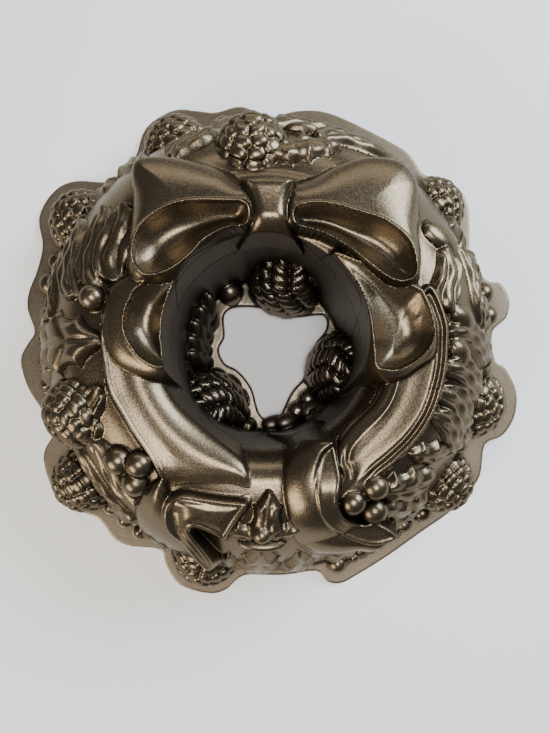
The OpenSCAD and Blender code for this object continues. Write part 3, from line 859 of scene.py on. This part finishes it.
# ---------------------------------------------------------------- materials
def cast_material(name, base, tint, rough, flake, painted_tube_shade=1.0):
    """Cast aluminium under a flake coating: fine grain, sparkle, slow tone changes, painted shade darkening
    the hollows, and inside the centre tube painted shade darkening the colour and a duller surface;
    painted_tube_shade sets how much of that the tube gets."""
    m = bpy.data.materials.new(name)
    m.use_nodes = True
    nt = m.node_tree
    nt.nodes.clear()

    def new(kind, **values):
        node = nt.nodes.new("ShaderNode" + kind)
        for key, value in values.items():
            key = key.replace("_", " ")
            node.inputs[key].default_value = value
        return node

    def link(a, b):
        nt.links.new(a, b)

    def between(value, low_in, high_in, low_out, high_out):
        node = new("MapRange", From_Min=low_in, From_Max=high_in, To_Min=low_out, To_Max=high_out)
        link(value, node.inputs["Value"])
        return node.outputs[0]

    def product(a, b):
        node = nt.nodes.new("ShaderNodeMath")
        node.operation = "MULTIPLY"
        for k, v in enumerate((a, b)):
            if isinstance(v, float):
                node.inputs[k].default_value = v
            else:
                link(v, node.inputs[k])
        return node.outputs[0]

    out = nt.nodes.new("ShaderNodeOutputMaterial")
    bsdf = new("BsdfPrincipled", Coat_Roughness=0.30, Specular_Tint=(0.56, 0.54, 0.50, 1))
    link(bsdf.outputs[0], out.inputs[0])
    co = nt.nodes.new("ShaderNodeTexCoord")
    slow = new("TexNoise", Scale=22.0, Detail=5.0)
    grain = new("TexVoronoi", Scale=2400.0)
    fine = new("TexNoise", Scale=900.0, Detail=3.0)
    for node in (slow, grain, fine):
        link(co.outputs["Object"], node.inputs["Vector"])
    ramp = nt.nodes.new("ShaderNodeValToRGB")
    ramp.color_ramp.elements[0].position = 0.3
    ramp.color_ramp.elements[0].color = (*base, 1)
    ramp.color_ramp.elements[1].position = 0.7
    ramp.color_ramp.elements[1].color = (*tint, 1)
    link(slow.outputs["Fac"], ramp.inputs["Fac"])
    sep = nt.nodes.new("ShaderNodeSeparateColor")
    link(grain.outputs["Color"], sep.inputs[0])
    spark = between(sep.outputs[0], 0.0, 1.0, 1 - flake, 1 + flake)
    # painted shade inside the tube: near the axis, below the crown, on faces that look sideways, the colour
    # is darkened and the surface dulled
    flat = nt.nodes.new("ShaderNodeVectorMath")
    flat.operation = "MULTIPLY"
    flat.inputs[1].default_value = (1, 1, 0)
    link(co.outputs["Object"], flat.inputs[0])
    reach = nt.nodes.new("ShaderNodeVectorMath")
    reach.operation = "LENGTH"
    link(flat.outputs[0], reach.inputs[0])
    near = between(reach.outputs["Value"], 0.0455, 0.0425, 0.0, 1.0)
    xyz = nt.nodes.new("ShaderNodeSeparateXYZ")
    link(co.outputs["Normal"], xyz.inputs[0])
    steep = between(xyz.outputs["Z"], 0.25, 0.65, 1.0, 0.0)
    bore = product(product(near, steep), painted_tube_shade)
    # painted shade in the hollows: the colour is darkened where ambient occlusion finds surfaces close by
    hollow = nt.nodes.new("ShaderNodeAmbientOcclusion")
    hollow.samples = 6
    hollow.inputs["Distance"].default_value = 0.009
    painted_hollow_shade = between(hollow.outputs["AO"], 0.25, 0.95, 0.30, 1.0)
    # base colour scaled by the sparkle, the painted shade of the hollows and the painted shade of the tube
    lit = product(product(spark, painted_hollow_shade), between(bore, 0.0, 1.0, 1.0, 0.30))
    mul = nt.nodes.new("ShaderNodeVectorMath")
    mul.operation = "SCALE"
    link(ramp.outputs["Color"], mul.inputs[0])
    link(lit, mul.inputs["Scale"])
    link(mul.outputs[0], bsdf.inputs["Base Color"])
    link(between(bore, 0.0, 1.0, 0.94, 0.70), bsdf.inputs["Metallic"])
    link(between(bore, 0.0, 1.0, 0.10, 0.0), bsdf.inputs["Coat Weight"])
    add_rough = nt.nodes.new("ShaderNodeMath")
    link(between(sep.outputs[1], 0.0, 1.0, rough - 0.06, rough + 0.08), add_rough.inputs[0])
    link(between(bore, 0.0, 1.0, 0.0, 0.06), add_rough.inputs[1])
    link(add_rough.outputs[0], bsdf.inputs["Roughness"])
    bump = new("Bump", Strength=0.25, Distance=0.00025)
    link(fine.outputs["Fac"], bump.inputs["Height"])
    link(bump.outputs[0], bsdf.inputs["Normal"])
    return m


bronze = cast_material("cast_bronze", (0.102, 0.079, 0.050), (0.138, 0.108, 0.070), 0.29, 0.10)
rim_mat = cast_material("cast_rim", (0.165, 0.132, 0.092), (0.20, 0.162, 0.116), 0.40, 0.18)
# the tube's metal in two copies: the tube and web get painted shade inside the tube, and the relief in the
# tube gets a lighter copy spared that shade, as painted light
tube_mat = cast_material("cast_tube", (0.110, 0.090, 0.068), (0.14, 0.115, 0.088), 0.34, 0.14)
relief_mat = cast_material("cast_tube_relief", (0.130, 0.108, 0.080), (0.165, 0.138, 0.104), 0.26, 0.10,
                           painted_tube_shade=0.0)

STANDS = {"ring_wall": ("outer_wall_lower", "outer_wall_upper", "crown"), "tube_wall": ("centre_tube",),
          "rim_plate": ("rim_flange",), "web_plate": ("tube_web",)}
faces = 0
for i, name in enumerate(NAMES):
    if name == "none":
        continue
    if name == "rim_plate":
        mat, slot = rim_mat, "cast_rim"
    # the web takes the tube's darker copy instead of the rim's, as painted shade
    elif name == "tube_wall" or name == "web_plate":
        mat, slot = tube_mat, "cast_tube"
    elif name.startswith("tube"):
        mat, slot = relief_mat, "cast_tube"
    else:
        mat, slot = bronze, "cast_bronze"
    piece = make_piece("cast_" + name, i, mat)
    if piece is None:
        print("EMPTY", name)
        continue
    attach(piece, "root")
    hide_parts(*STANDS.get(name, (name,)))
    faces += len(piece.data.polygons)
print("pieces", len(NAMES) - 1, "faces", faces)

# ---------------------------------------------------------------- stage, lights and camera
FLOOR_SIZE, FLOOR_GAP = 6.0, 0.0004
WORLD_STRENGTH = 0.16
bpy.ops.mesh.primitive_plane_add(size=FLOOR_SIZE, location=(0, 0, -FLOOR_GAP))
floor = bpy.context.object
floor.name = "floor"
fm = bpy.data.materials.new("floor")
fm.use_nodes = True
fb = fm.node_tree.nodes["Principled BSDF"]
fb.inputs["Base Color"].default_value = (0.80, 0.80, 0.80, 1)
fb.inputs["Roughness"].default_value = 0.7
floor.data.materials.append(fm)

world = bpy.data.worlds.new("studio")
bpy.context.scene.world = world
world.use_nodes = True
world.node_tree.nodes["Background"].inputs[0].default_value = (0.80, 0.86, 0.95, 1)
world.node_tree.nodes["Background"].inputs[1].default_value = WORLD_STRENGTH


def area_light(name, place, aim, size, power, colour):
    data = bpy.data.lights.new(name, "AREA")
    data.shape = "RECTANGLE"
    data.size, data.size_y = size
    data.energy = power
    data.color = colour
    lamp = bpy.data.objects.new(name, data)
    bpy.context.scene.collection.objects.link(lamp)
    lamp.location = place
    lamp.rotation_euler = (Vector(aim) - Vector(place)).to_track_quat("-Z", "Y").to_euler()


area_light("window", (0.75, 0.55, 0.65), (0, 0, 0.05), (0.6, 0.6), 21, (0.80, 0.90, 1.0))
area_light("warm_fill", (-0.70, -0.60, 0.60), (0, 0, 0.05), (0.6, 0.5), 11, (1.0, 0.88, 0.72))
area_light("overhead", (0.05, -0.05, 0.80), (0, 0, 0), (0.30, 0.30), 5.5, (1.0, 0.97, 0.93))
area_light("back", (0.0, 0.95, 0.45), (0, 0, 0.05), (1.0, 0.3), 2.5, (1.0, 0.93, 0.82))

EYE = Vector((0.0027, -0.0256, 0.2936))
AIM = Vector((0.0043, -0.0443, 0.0))
SENSOR_MM, LENS_MM = 36.0, 27.0614
cam_data = bpy.data.cameras.new("camera")
cam_data.sensor_width = SENSOR_MM
cam_data.lens = LENS_MM
cam_data.shift_y = 0.100
cam_data.clip_start = 0.01
cam_data.dof.use_dof = False
camera = bpy.data.objects.new("camera", cam_data)
bpy.context.scene.collection.objects.link(camera)
back = (EYE - AIM).normalized()
right = Vector((0, 1, 0)).cross(back).normalized()
up = back.cross(right)
camera.matrix_world = Matrix([[right[i], up[i], back[i], EYE[i]] for i in range(3)] + [[0, 0, 0, 1]])
bpy.context.scene.camera = camera
